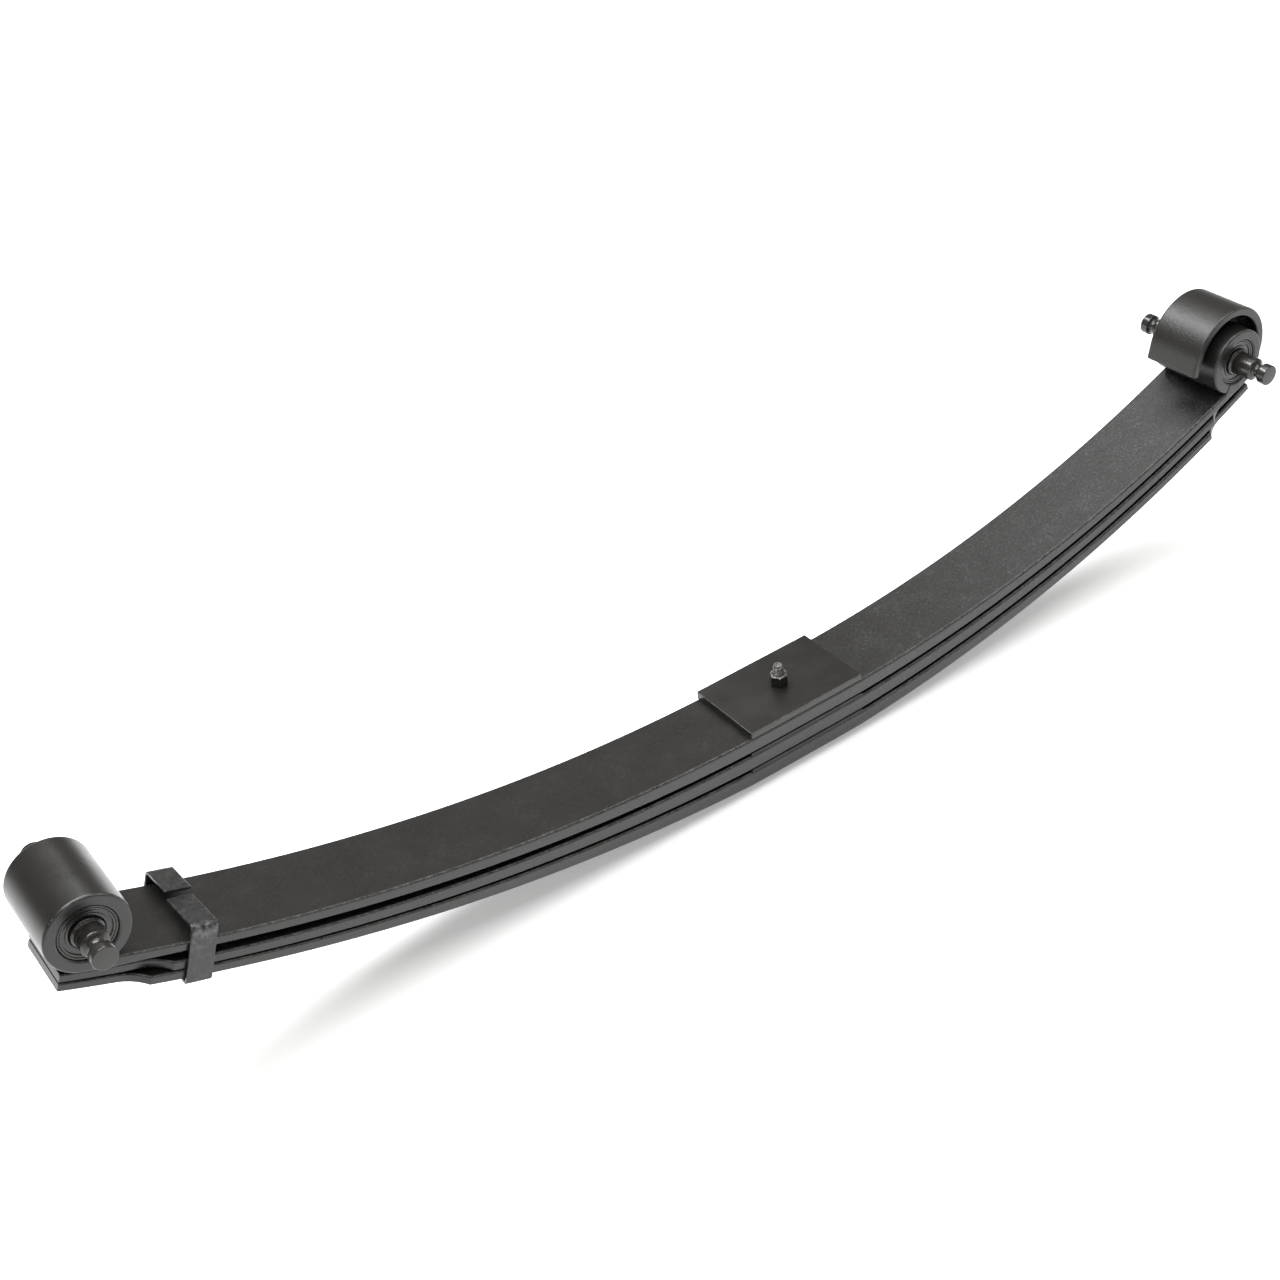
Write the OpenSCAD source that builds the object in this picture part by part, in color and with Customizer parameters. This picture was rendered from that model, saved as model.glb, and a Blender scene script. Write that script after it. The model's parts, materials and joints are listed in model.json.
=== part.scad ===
// Three-leaf tapered spring with rolled eyes, rubber-bushed pins, a wrapped right eye,
// a rebound clip and a bolted centre seat.
// +X runs along the leaves, Y across them, +Z up. The origin is on the underside of the
// third leaf, on the axis of the centre bolt, where the spring sits on its axle.

/* [Leaf pack] */
// Width of every leaf
leaf_w = 101.6; // [80:0.1:125]
// Distance from the centre bolt to the left eye, along X
left_span = 838; // [600:1:1000]
// Distance from the centre bolt to the right eye, along X
right_span = 718; // [520:1:900]
// Radius of the upper face of the main leaf, left of the seat
left_camber_r = 2031; // [1500:1:4000]
// Radius of the upper face of the main leaf, right of the seat
right_camber_r = 1677; // [1400:1:4000]
// Half length of the flat stretch at the centre bolt
seat_half = 40; // [20:1:60]
// Thickness of each leaf at the seat
leaf_mid_t = 20.5; // [16:0.1:25]
// Thickness of the leaf ends on the left
left_end_t = 9.8; // [8:0.1:14]
// Thickness of the leaf ends on the right
right_end_t = 11.3; // [8:0.1:14]
// Space between the main and second leaf under the left eye
left_upper_gap = 7.5; // [4:0.1:12]
// Space between the main and second leaf under the right eye
right_upper_gap = 4.5; // [3:0.1:12]
// Space between the second and third leaf under the left eye
left_lower_gap = 0.6; // [0.4:0.1:8]
// Space between the second and third leaf under the right eye
right_lower_gap = 6; // [2:0.1:8]

/* [Eyes] */
// Outer diameter of the rolled eyes
eye_d = 86; // [76:0.5:100]
// Bore of the rolled eyes
eye_bore_d = 59; // [50:0.5:64]
// Thickness of the main leaf where it rolls into an eye
eye_leaf_t = 12.5; // [10:0.1:15]
// Length over which the main leaf thickens towards an eye
eye_blend = 70; // [40:1:120]
// Width of the slit where the rolled end meets the leaf
eye_slit = 1; // [0.6:0.1:2]

/* [Leaf ends] */
// Width of the narrowed leaf ends
narrow_w = 77; // [60:0.5:80]
// Length of the hollow curve that leads to the narrow width
flare_len = 28; // [16:1:40]
// How far the lower leaves reach past the eye axes
tip_past_eye = 15.5; // [5:0.5:30]
// Distance from the left eye to the shoulder of the second leaf
second_left_shoulder = 91; // [70:1:97]
// Distance from the right eye to the shoulder of the second leaf
second_right_shoulder = 60; // [45:1:100]
// Distance from the left eye to the shoulder of the third leaf
third_left_shoulder = 69; // [50:1:97]
// Distance from the right eye to the shoulder of the third leaf
third_right_shoulder = 70; // [50:1:100]
// How much wider the inside of the second leaf's wrap is than the right eye, as a radius
wrap_room = 9.8; // [8:0.1:17]
// Angle that the wrap turns through
wrap_turn = 234; // [180:1:250]
// Length of the straight tail after the wrap
tail_len = 20; // [5:1:25]

/* [Seat] */
// Length of the top plate and of the liners
plate_len = 165; // [140:1:200]
// How far the top plate stands out past each side of the leaves
plate_overhang = 1.2; // [0:0.1:4]
// Thickness of the top plate
plate_t = 8; // [5:0.5:12]
// Thickness of the liners between the leaves
liner_t = 4; // [2:0.1:6]
// Thickness of the liner under the ends of the top plate
top_liner_t = 1.6; // [1:0.1:3]
// Diameter of the centre bolt
bolt_d = 12.7; // [10:0.1:16]
// Radial clearance of the centre bolt in its holes
bolt_clearance = 0.3; // [0.1:0.1:1]
// Diameter of the round head that locates the spring on its axle
bolt_head_d = 22; // [18:0.5:30]
// Height of that round head
bolt_head_h = 11; // [8:0.5:16]
// Length of bolt that stands out above the nut
bolt_end = 13; // [3:0.5:20]
// Width across the flats of the nut
nut_af = 19; // [17:0.5:24]
// Height of the nut
nut_h = 14.5; // [9:0.5:18]

/* [Rebound clip] */
// Distance from the left eye to the middle of the clip
clip_from_eye = 116; // [112:1:160]
// Width of the clip strap
clip_w = 27; // [20:0.5:32]
// Thickness of the clip strap
clip_t = 3.5; // [2.5:0.1:5]
// Clearance between the clip and the sides of the leaves
clip_side_gap = 0.9; // [0.5:0.1:3]
// Clearance between the clip's floor and the third leaf
clip_floor_gap = 0.3; // [0.2:0.05:0.6]
// Height of the near tab's bend above the main leaf
near_tab_height = 19; // [15:0.5:30]
// Height of the far tab's bend above the main leaf
far_tab_height = 15.5; // [13:0.5:30]
// Downward slope of the near tab
near_tab_slope = 6; // [0:0.5:8]
// Upward slope of the far tab
far_tab_slope = 5.5; // [0:0.5:10]
// How far the ends of the two tabs stay apart
tab_gap = 4; // [2:0.5:20]
// How far the parting of the tabs lies beyond the middle of the leaf
tab_parting = 6; // [-15:0.5:15]
// Diameter of the rivet that holds the clip to the third leaf
rivet_d = 8; // [6:0.5:10]
// Diameter of the rivet's lower head
rivet_head_d = 15; // [12:0.5:20]
// Height of the rivet's lower head
rivet_head_h = 3.5; // [2:0.5:5]

/* [Bushings] */
// Length of the bushing sleeves
sleeve_len = 97; // [90:0.5:100]
// Wall of the bushing sleeves
sleeve_wall = 2.5; // [1.5:0.1:4]
// Radial clearance of the press fits
press_clearance = 0.05; // [0.02:0.01:0.1]
// Depth of the retaining washers inside the sleeve ends
washer_depth = 1.5; // [0.5:0.1:3]
// Thickness of the retaining washers
washer_t = 3; // [2:0.1:5]
// Space between the pins and what surrounds them
pin_gap = 0.3; // [0.2:0.05:0.6]

/* [Pins] */
// Length of the left pin
left_pin_len = 180; // [165:1:210]
// Length of the right pin
right_pin_len = 200; // [165:1:230]
// Diameter of the pins inside their rubber
pin_barrel_d = 34; // [31:0.5:40]
// Diameter of the pins where they leave the bushing
pin_hub_d = 29; // [26.5:0.5:30.5]
// Diameter of the pin heads
pin_head_d = 26; // [22:0.5:26]
// Length of the pin heads
pin_head_len = 10.5; // [8:0.5:13]
// Width of the groove for the pinch bolt
groove_w = 10.5; // [8:0.5:13]
// Diameter at the bottom of that groove
groove_d = 17; // [14:0.5:20]
// Chamfer on the ends of the pins and the centre bolt
end_chamfer = 1; // [0.5:0.1:1.5]

/* [Hidden] */
$fn = 64;

paint = "#1b1b1d";
steel = "#3a3a3c";
rubber = "#101010";

eye_r = eye_d / 2;
wrap_r = eye_r + wrap_room;
plate_half = plate_len / 2;
// Step where two stretches of one leaf run into each other
join_step = 0.1;
// Upper face of the main leaf, measured below the axis of an eye
eye_drop = eye_r - eye_leaf_t - join_step;
left_turn = asin((left_span - seat_half) / (left_camber_r - eye_drop));
right_turn = asin((right_span - seat_half) / (right_camber_r - eye_drop));
// Lengths along the upper face of the main leaf, from the centre bolt to each eye
left_run = seat_half + left_camber_r * left_turn * PI / 180;
right_run = seat_half + right_camber_r * right_turn * PI / 180;
top_z = 3 * leaf_mid_t + 2 * liner_t;
// Rise of the upper face between the flat stretch and the ends of the top plate
seat_rise = (plate_half - seat_half) * (plate_half - seat_half)
    / (2 * min(left_camber_r, right_camber_r));
plate_z = top_z + seat_rise + top_liner_t;
sleeve_r = eye_bore_d / 2 - press_clearance;
bolt_hole_r = bolt_d / 2 + bolt_clearance;
// Length before an eye's axis over which the main leaf already has its full thickness
blend_lead = 0.3 * eye_blend;
// Stretches of each leaf's outline between the seat and an eye
steps = 24;
// How far a cutting solid reaches past what it cuts
cut = 1;
// Outside radius of the rubber and the washers
filling_r = sleeve_r - sleeve_wall - press_clearance;
rubber_len = sleeve_len - 2 * (washer_depth + washer_t);

// Depths of the leaf faces below the upper face of the main leaf, at the seat and at each eye
second_mid = leaf_mid_t + liner_t;
third_mid = 2 * second_mid;
second_left = eye_leaf_t + left_upper_gap;
second_right = eye_leaf_t + right_upper_gap;
third_left = second_left + left_end_t + left_lower_gap;
third_right = second_right + right_end_t + right_lower_gap;

clip_s = clip_from_eye - left_run;
// Outer radii of the clip's bends; the lower ones hug the square edges of the third leaf
clip_bend = 2 * clip_t;
clip_low_bend = clip_t + clip_side_gap + clip_side_gap / 2;
// Upper face of the clip's floor, under the deeper end of the third leaf's stretch in the clip
clip_floor = -third_bottom(clip_s + clip_w / 2) - clip_floor_gap;
// Depth of the rivet's upper end in its hole
rivet_recess = 0.3;

function side_r(s) = s < 0 ? left_camber_r : right_camber_r;
function side_run(s) = s < 0 ? left_run : right_run;
function turn(s) = max(0, abs(s) - seat_half) / side_r(s) * 180 / PI;
// Point at the length s along the upper face of the main leaf and a depth below it
function camber(s, depth) = [
    sign(s) * (min(abs(s), seat_half) + (side_r(s) + depth) * sin(turn(s))),
    top_z + side_r(s) - (side_r(s) + depth) * cos(turn(s))];
// Share of the way from the end of the seat to an eye
function share(s) = max(0, abs(s) - plate_half) / (side_run(s) - plate_half);
function tapered(s, mid, left, right) = mid + ((s < 0 ? left : right) - mid) * share(s);
function main_t(s) =
    let(t = tapered(s, leaf_mid_t, left_end_t, right_end_t),
        k = min(1, max(0, (abs(s) - side_run(s) + blend_lead) / eye_blend + 1)))
    t + (eye_leaf_t - t) * k;
function second_top(s) = tapered(s, second_mid, second_left, second_right);
function second_bottom(s) = second_top(s) + tapered(s, leaf_mid_t, left_end_t, right_end_t);
function third_top(s) = tapered(s, third_mid, third_left, third_right);
function third_bottom(s) = third_top(s) + tapered(s, leaf_mid_t, left_end_t, right_end_t);
// Lengths at which a leaf's outline has points; all leaves share those at the seat
function seat_stations() = [-plate_half, -seat_half, seat_half, plate_half];
function stations(from, to) = concat(
    [for (i = [0:steps - 1]) from + (-plate_half - from) * i / steps],
    seat_stations(),
    [for (i = [1:steps]) plate_half + (to - plate_half) * i / steps]);
function arc(x, y, r, from, to, n = 8) =
    [for (i = [0:n]) [x + r * cos(from + (to - from) * i / n), y + r * sin(from + (to - from) * i / n)]];

// Stands a flat outline, drawn in X and Z, up as a slab of a width across Y
module across(w) {
    translate([0, w / 2, 0]) rotate([90, 0, 0]) linear_extrude(height = w) children();
}
// Moves to the axis of an eye, with X along the leaf and Z square to it
module at_left_eye() {
    c = camber(-left_run, -eye_drop);
    translate([c[0], 0, c[1]]) rotate([0, left_turn, 0]) children();
}
module at_right_eye() {
    c = camber(right_run, -eye_drop);
    translate([c[0], 0, c[1]]) rotate([0, -right_turn, 0]) children();
}
// Moves to the middle of the clip, on the upper face of the main leaf
module at_clip() {
    c = camber(clip_s, 0);
    translate([c[0], 0, c[1]]) rotate([0, turn(clip_s), 0]) children();
}
module cross_cylinder(r, w) {
    rotate([90, 0, 0]) cylinder(r = r, h = w, center = true);
}
module bolt_hole() {
    translate([0, 0, -cut]) cylinder(r = bolt_hole_r, h = plate_z + plate_t + 2 * cut);
}
// Cuts both sides of a leaf down to the narrow width, from a shoulder outwards along +X
module narrowing(shoulder) {
    depth = (leaf_w - narrow_w) / 2;
    hollow_r = (flare_len * flare_len + depth * depth) / (2 * depth);
    reach = 4 * eye_d;
    for (side = [-1, 1])
        translate([flare_len - shoulder, side * (narrow_w / 2 + hollow_r), 0]) {
            cylinder(r = hollow_r, h = reach, center = true);
            translate([0, -hollow_r, -reach / 2]) cube([reach, 2 * hollow_r, reach]);
        }
}

module main_leaf() {
    s = stations(-left_run, right_run);
    n = len(s) - 1;
    color(paint) difference() {
        union() {
            across(leaf_w) polygon(concat(
                [for (v = s) camber(v, 0)],
                [for (i = [0:n]) camber(s[n - i], main_t(s[n - i]))]));
            at_left_eye() cross_cylinder(eye_r, leaf_w + 2 * join_step);
            at_right_eye() cross_cylinder(eye_r, leaf_w + 2 * join_step);
        }
        at_left_eye() eye_cuts(1);
        at_right_eye() eye_cuts(-1);
        bolt_hole();
    }
}
// Bore of an eye and the slit at its rolled end; inboard is the way to the centre bolt along X
module eye_cuts(inboard) {
    slit_angle = asin(eye_drop / eye_r);
    slit_len = eye_r + eye_slit / 2;
    cross_cylinder(eye_bore_d / 2, leaf_w + 2 * cut);
    rotate([0, inboard * slit_angle, 0])
        translate([inboard > 0 ? 0 : -slit_len, -leaf_w / 2 - cut, eye_slit])
            cube([slit_len, leaf_w + 2 * cut, eye_slit]);
}

module second_leaf() {
    s = stations(-left_run - tip_past_eye, right_run + cut);
    n = len(s) - 1;
    color(paint) {
        difference() {
            across(leaf_w) polygon(concat(
                [for (v = s) camber(v, second_top(v))],
                [for (i = [0:n]) camber(s[n - i], second_bottom(s[n - i]))]));
            at_left_eye() mirror([1, 0, 0]) narrowing(second_left_shoulder);
            at_right_eye() narrowing(second_right_shoulder);
            bolt_hole();
        }
        at_right_eye() wrap();
    }
}
// Wrap of the second leaf round the right eye
module wrap() {
    second_drop = eye_drop + second_right;
    wrap_w = narrow_w + 2 * join_step;
    translate([0, 0, wrap_r - second_drop + join_step]) rotate([90, 0, 0]) {
        rotate([0, 0, -90]) rotate_extrude(angle = wrap_turn)
            translate([wrap_r, -wrap_w / 2]) square([right_end_t + 2 * join_step, wrap_w]);
        rotate([0, 0, wrap_turn - 90]) translate([wrap_r + join_step, -cut, -narrow_w / 2])
            cube([right_end_t, tail_len + cut, narrow_w]);
    }
}

module third_leaf() {
    s = stations(-left_run - tip_past_eye, right_run + tip_past_eye);
    n = len(s) - 1;
    color(paint) difference() {
        across(leaf_w) polygon(concat(
            [for (v = s) camber(v, third_top(v))],
            [for (i = [0:n]) camber(s[n - i], third_bottom(s[n - i]))]));
        at_left_eye() mirror([1, 0, 0]) narrowing(third_left_shoulder);
        at_right_eye() narrowing(third_right_shoulder);
        bolt_hole();
        at_clip() rivet_hole();
    }
}

// Liner that fills the space between two leaves at the seat, its upper face at a depth
module liner(depth) {
    s = seat_stations();
    n = len(s) - 1;
    color(steel) difference() {
        across(leaf_w) polygon(concat(
            [for (v = s) camber(v, depth)],
            [for (i = [0:n]) camber(s[n - i], depth + liner_t)]));
        bolt_hole();
    }
}
module upper_liner() { liner(leaf_mid_t); }
module lower_liner() { liner(second_mid + leaf_mid_t); }
module top_liner() {
    color(steel) difference() {
        across(leaf_w) polygon(concat(
            [for (v = seat_stations()) camber(v, 0)],
            [[plate_half, plate_z], [-plate_half, plate_z]]));
        bolt_hole();
    }
}
module top_plate() {
    plate_w = leaf_w + 2 * plate_overhang;
    color(paint) difference() {
        translate([-plate_half, -plate_w / 2, plate_z]) cube([plate_len, plate_w, plate_t]);
        bolt_hole();
    }
}

module centre_bolt() {
    r = bolt_d / 2;
    end_z = plate_z + plate_t + nut_h + bolt_end;
    head_r = bolt_head_d / 2;
    color(steel) rotate_extrude() polygon([
        [0, -bolt_head_h], [head_r - end_chamfer, -bolt_head_h], [head_r, end_chamfer - bolt_head_h],
        [head_r, 0], [r, 0], [r, end_z - end_chamfer], [r - end_chamfer, end_z], [0, end_z]]);
}
module centre_nut() {
    color(steel) translate([0, 0, plate_z + plate_t]) difference() {
        cylinder(r = nut_af / 2 / cos(30), h = nut_h, $fn = 6);
        translate([0, 0, -cut]) cylinder(r = bolt_d / 2 + press_clearance, h = nut_h + 2 * cut);
    }
}

// Line round the leaves at an inset from the clip's outer face, drawn in Y and Z: in along the
// near tab, down, under the leaves, up, and in along the far tab
function clip_line(inset) =
    let(half = leaf_w / 2 + clip_side_gap + clip_t,
        side = half - clip_bend,
        low_side = half - clip_low_bend,
        r = clip_bend - inset,
        low_r = clip_low_bend - inset,
        low = clip_floor - clip_t + clip_low_bend,
        near = near_tab_height - clip_bend,
        far = far_tab_height - clip_bend,
        near_end = tab_parting - tab_gap / 2,
        far_end = tab_parting + tab_gap / 2)
    concat(
        [[near_end, near + r / cos(near_tab_slope) - (near_end + side) * tan(near_tab_slope)]],
        arc(-side, near, r, 90 - near_tab_slope, 180),
        arc(-low_side, low, low_r, 180, 270),
        arc(low_side, low, low_r, 270, 360),
        arc(side, far, r, 0, 90 - far_tab_slope),
        [[far_end, far + r / cos(far_tab_slope) + (side - far_end) * tan(far_tab_slope)]]);
module rebound_clip() {
    inner = clip_line(clip_t);
    n = len(inner) - 1;
    color(paint) at_clip() difference() {
        rotate([90, 0, 90]) translate([0, 0, -clip_w / 2]) linear_extrude(height = clip_w)
            polygon(concat(clip_line(0), [for (i = [0:n]) inner[n - i]]));
        rivet_hole();
    }
}
module rivet_hole() {
    translate([0, 0, clip_floor - 2 * clip_t])
        cylinder(r = rivet_d / 2 + press_clearance, h = 2 * clip_t - clip_floor);
}
module clip_rivet() {
    head_z = clip_floor - clip_t;
    top = -third_top(clip_s - rivet_d / 2) - rivet_recess;
    color(steel) at_clip() {
        translate([0, 0, head_z]) cylinder(r = rivet_d / 2, h = top - head_z);
        translate([0, 0, head_z - rivet_head_h + end_chamfer])
            cylinder(r = rivet_head_d / 2, h = rivet_head_h - end_chamfer);
        translate([0, 0, head_z - rivet_head_h])
            cylinder(r1 = rivet_head_d / 2 - end_chamfer, r2 = rivet_head_d / 2, h = end_chamfer);
    }
}

// Pieces of a bushing, all along Y on the axis of their eye
module sleeve() {
    color(steel) difference() {
        cross_cylinder(sleeve_r, sleeve_len);
        cross_cylinder(sleeve_r - sleeve_wall, sleeve_len + 2 * cut);
    }
}
module bushing_rubber() {
    color(rubber) difference() {
        cross_cylinder(filling_r, rubber_len);
        cross_cylinder(pin_barrel_d / 2 + pin_gap, rubber_len + 2 * cut);
    }
}
// side is -1 for the near end and 1 for the far end
module washer(side) {
    color(steel) translate([0, side * (rubber_len + washer_t) / 2, 0]) difference() {
        cross_cylinder(filling_r, washer_t);
        cross_cylinder(pin_hub_d / 2 + pin_gap, washer_t + 2 * cut);
    }
}
module pin(length) {
    head_r = pin_head_d / 2;
    groove_depth = (pin_head_d - groove_d) / 2;
    ring_r = (groove_w * groove_w / 4 + groove_depth * groove_depth) / (2 * groove_depth);
    groove_z = length / 2 - pin_head_len - groove_w / 2;
    color(steel) rotate([90, 0, 0]) difference() {
        union() {
            cylinder(r = pin_barrel_d / 2, h = rubber_len - 2 * pin_gap, center = true);
            cylinder(r = pin_hub_d / 2, h = 2 * groove_z - groove_w, center = true);
            cylinder(r = head_r, h = length - 2 * end_chamfer, center = true);
            for (end = [0, 1]) mirror([0, 0, end]) translate([0, 0, length / 2 - end_chamfer])
                cylinder(r1 = head_r, r2 = head_r - end_chamfer, h = end_chamfer);
        }
        for (end = [-1, 1]) translate([0, 0, end * groove_z])
            rotate_extrude() translate([groove_d / 2 + ring_r, 0]) circle(r = ring_r);
    }
}
module left_sleeve() { at_left_eye() sleeve(); }
module left_rubber() { at_left_eye() bushing_rubber(); }
module left_near_washer() { at_left_eye() washer(-1); }
module left_far_washer() { at_left_eye() washer(1); }
module left_pin() { at_left_eye() pin(left_pin_len); }
module right_sleeve() { at_right_eye() sleeve(); }
module right_rubber() { at_right_eye() bushing_rubber(); }
module right_near_washer() { at_right_eye() washer(-1); }
module right_far_washer() { at_right_eye() washer(1); }
module right_pin() { at_right_eye() pin(right_pin_len); }

main_leaf();
second_leaf();
third_leaf();
upper_liner();
lower_liner();
top_liner();
top_plate();
centre_bolt();
centre_nut();
rebound_clip();
clip_rivet();
left_sleeve();
left_rubber();
left_near_washer();
left_far_washer();
left_pin();
right_sleeve();
right_rubber();
right_near_washer();
right_far_washer();
right_pin();
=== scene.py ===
import json
import math

import bmesh
import bpy
from mathutils import Euler, Matrix, Vector


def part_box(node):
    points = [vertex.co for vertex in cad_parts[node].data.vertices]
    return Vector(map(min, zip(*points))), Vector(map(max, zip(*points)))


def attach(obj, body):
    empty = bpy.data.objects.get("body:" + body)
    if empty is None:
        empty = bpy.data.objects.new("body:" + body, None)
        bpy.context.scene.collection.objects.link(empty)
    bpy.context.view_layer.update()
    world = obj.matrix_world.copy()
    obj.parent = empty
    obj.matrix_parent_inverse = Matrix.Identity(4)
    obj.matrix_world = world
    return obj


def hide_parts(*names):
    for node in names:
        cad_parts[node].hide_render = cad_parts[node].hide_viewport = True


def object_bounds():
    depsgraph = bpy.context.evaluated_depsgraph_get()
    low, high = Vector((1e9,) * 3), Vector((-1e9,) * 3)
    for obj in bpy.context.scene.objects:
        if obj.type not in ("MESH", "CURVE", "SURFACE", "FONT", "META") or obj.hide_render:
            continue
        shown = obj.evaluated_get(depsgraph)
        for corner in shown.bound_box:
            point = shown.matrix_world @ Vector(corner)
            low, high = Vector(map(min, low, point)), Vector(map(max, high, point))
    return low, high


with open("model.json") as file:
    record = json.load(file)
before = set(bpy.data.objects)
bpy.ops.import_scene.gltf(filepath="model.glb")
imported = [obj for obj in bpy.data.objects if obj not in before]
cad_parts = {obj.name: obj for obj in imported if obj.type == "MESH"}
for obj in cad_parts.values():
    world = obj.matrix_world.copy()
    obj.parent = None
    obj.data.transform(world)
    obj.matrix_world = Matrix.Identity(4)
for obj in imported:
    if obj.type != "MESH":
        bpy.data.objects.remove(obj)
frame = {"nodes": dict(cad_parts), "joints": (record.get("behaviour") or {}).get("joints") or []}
cad_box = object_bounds()

# Sizes of the spring, in millimetres
MM = 0.001
LEAF_W = 101.6
LEAF_T = 20.5
SEAT_HALF = 40
PLATE_HALF = 82.5
TOP_Z = 69.5
LINER_T = 4
EYE_R = 42.97
EYE_BORE_R = 29.6
EYE_ROLL = math.radians(313)
EYE_LEAF_T = 12.5
EYE_DROP = 30.4
EYE_BLEND = 70
BLEND_LEAD = 21
EDGE_R = 2.8
NARROW_W = 77
FLARE_LEN = 28
SECOND_LEFT_SHOULDER, SECOND_RIGHT_SHOULDER = 91, 60
THIRD_LEFT_SHOULDER, THIRD_RIGHT_SHOULDER = 69, 70
TIP_PAST_EYE = 15.5
TIP_ROUND = 0.9
WRAP_R = 52.8
WRAP_RISE = 5.5
WRAP_TURN = math.radians(234)
TAIL_LEN = 20
BOLT_HOLE_R = 6.65
CLIP_FROM_EYE = 116
CLIP_W = 27
CLIP_T = 3.5
CLIP_EDGE_R = 0.9
CLIP_SIDE_GAP = 0.9
CLIP_FLOOR_GAP = 0.3
CLIP_LOW_BEND = 1.35
NEAR_TAB_HEIGHT, NEAR_TAB_SLOPE, NEAR_TAB_END = 19, 6, 4
FAR_TAB_HEIGHT, FAR_TAB_SLOPE, FAR_TAB_END = 15.5, 5.5, 8
RIVET_R = 4
RIVET_HEAD_R = 7.5
RIVET_HEAD_H = 3.5
RIVET_RECESS = 0.3
PRESS_GAP = 0.05
NUT_R = 9.5 / math.cos(math.radians(30))
BOLT_R = 6.35
THREAD_CORE_R = 5.5
THREAD_CREST_R = 6.3
THREAD_PITCH = 1.95
SLEEVE_END = 48.5
DISC_IN = 44
PIN_BARREL_R, PIN_HUB_R, PIN_HEAD_R, PIN_HEAD_LEN = 17, 14.5, 13, 10.5
GROOVE_W, GROOVE_CURVE_R, GROOVE_CURVE_AT = 10.5, 5.31, 13.81


class Half:
    """One half of the leaf pack, from the centre bolt out to an eye."""

    def __init__(self, way, pin, camber_r, end_t, upper_gap, lower_gap):
        joint = next(j for j in frame["joints"] if j["child"] == pin)
        self.way = way
        self.eye = Vector(joint["pos_m"]) / MM
        self.camber_r = camber_r
        self.turn = math.asin((abs(self.eye.x) - SEAT_HALF) / (camber_r - EYE_DROP))
        self.run = SEAT_HALF + camber_r * self.turn
        self.end_t = end_t
        self.second = EYE_LEAF_T + upper_gap
        self.third = self.second + end_t + lower_gap

    def taper(self, s, mid, end):
        """A depth or thickness that runs evenly from the seat to the eye."""
        return mid + (end - mid) * max(0, s - PLATE_HALF) / (self.run - PLATE_HALF)

    def thickness(self, s):
        """How thick a leaf is, where no eye thickens it."""
        return self.taper(s, LEAF_T, self.end_t)

    def turned(self, s):
        """How far the pack has curved upwards at a length, in radians."""
        return max(0, s - SEAT_HALF) / self.camber_r

    def point(self, s, depth):
        """The point at the length s along the pack and a depth below its top."""
        r, a = self.camber_r + depth, self.turned(s)
        return Vector((self.way * (min(s, SEAT_HALF) + r * math.sin(a)), 0,
                       TOP_Z + self.camber_r - r * math.cos(a)))

    def station(self, s, depth, thick, half_w, inset=0.0):
        """A station square to the pack's curve, for ribbon()."""
        a = self.turned(s)
        down = Vector((self.way * math.sin(a), 0, -math.cos(a)))
        return self.point(s, depth + inset), half_w - inset, down * (thick - 2 * inset)

    def roll(self, rise, r, a, thick, half_w, inset=0.0):
        """A station on a curl round a point above or below the eye's axis."""
        a += self.turn
        out = Vector((self.way * math.sin(a), 0, -math.cos(a)))
        up = Vector((-self.way * math.sin(self.turn), 0, math.cos(self.turn)))
        return (self.eye + up * rise + out * (r + inset), half_w - inset,
                out * (thick - 2 * inset))

    def along(self, a):
        """The way a curl runs after it has turned through an angle."""
        a += self.turn
        return Vector((self.way * math.cos(a), 0, math.sin(a)))


left = Half(-1, "left_pin", 2031, 9.8, 7.5, 0.6)
right = Half(1, "right_pin", 1677, 11.3, 4.5, 6)


# ---------------------------------------------------------------- shaping tools

def ribbon(stations, width, thick, edge_r, sideways=Vector((0, 1, 0)), segments=6):
    """A flat bar with rounded edges along stations: a point, half width and thickness vector."""
    bm = bmesh.new()
    bmesh.ops.create_grid(bm, x_segments=1, y_segments=1, size=0.5)
    bmesh.ops.scale(bm, vec=(width, thick, 1), verts=bm.verts)
    bmesh.ops.translate(bm, vec=(0, thick / 2, 0), verts=bm.verts)
    bmesh.ops.bevel(bm, geom=bm.verts[:], offset=edge_r, affect="VERTICES", segments=segments,
                    profile=0.5, material=-1)

    def placing(station, side):
        point, half_w, down = station
        m = Matrix.Identity(4)
        down = down / thick
        m.col[0] = sideways.to_4d()
        m.col[1] = down.to_4d()
        m.col[2] = sideways.cross(down).normalized().to_4d()
        m.col[3] = (point + sideways * side * (half_w - width / 2)).to_4d()
        for i in range(3):
            m[3][i] = 0
        return m

    ring = bm.verts[:]
    sides = {v: (1 if v.co.x > 0 else -1) for v in ring}
    edges = bm.edges[:]
    for side in (-1, 1):
        bmesh.ops.transform(bm, matrix=placing(stations[0], side),
                            verts=[v for v in ring if sides[v] == side])
    for before, after in zip(stations, stations[1:]):
        grown = bmesh.ops.extrude_edge_only(bm, edges=edges)["geom"]
        edges = [g for g in grown if isinstance(g, bmesh.types.BMEdge)]
        new = {g for g in grown if isinstance(g, bmesh.types.BMVert)}
        turned = {}
        for v in new:
            old = next(e.other_vert(v) for e in v.link_edges if e.other_vert(v) in sides)
            turned[v] = sides[old]
        sides = turned
        for side in (-1, 1):
            bmesh.ops.transform(
                bm, matrix=placing(after, side) @ placing(before, side).inverted(),
                verts=[v for v in new if sides[v] == side])
        edges = [e for e in edges if e.verts[0] in new and e.verts[1] in new]
    bmesh.ops.contextual_create(bm, geom=edges)
    bmesh.ops.recalc_face_normals(bm, faces=bm.faces)
    return bm


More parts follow.
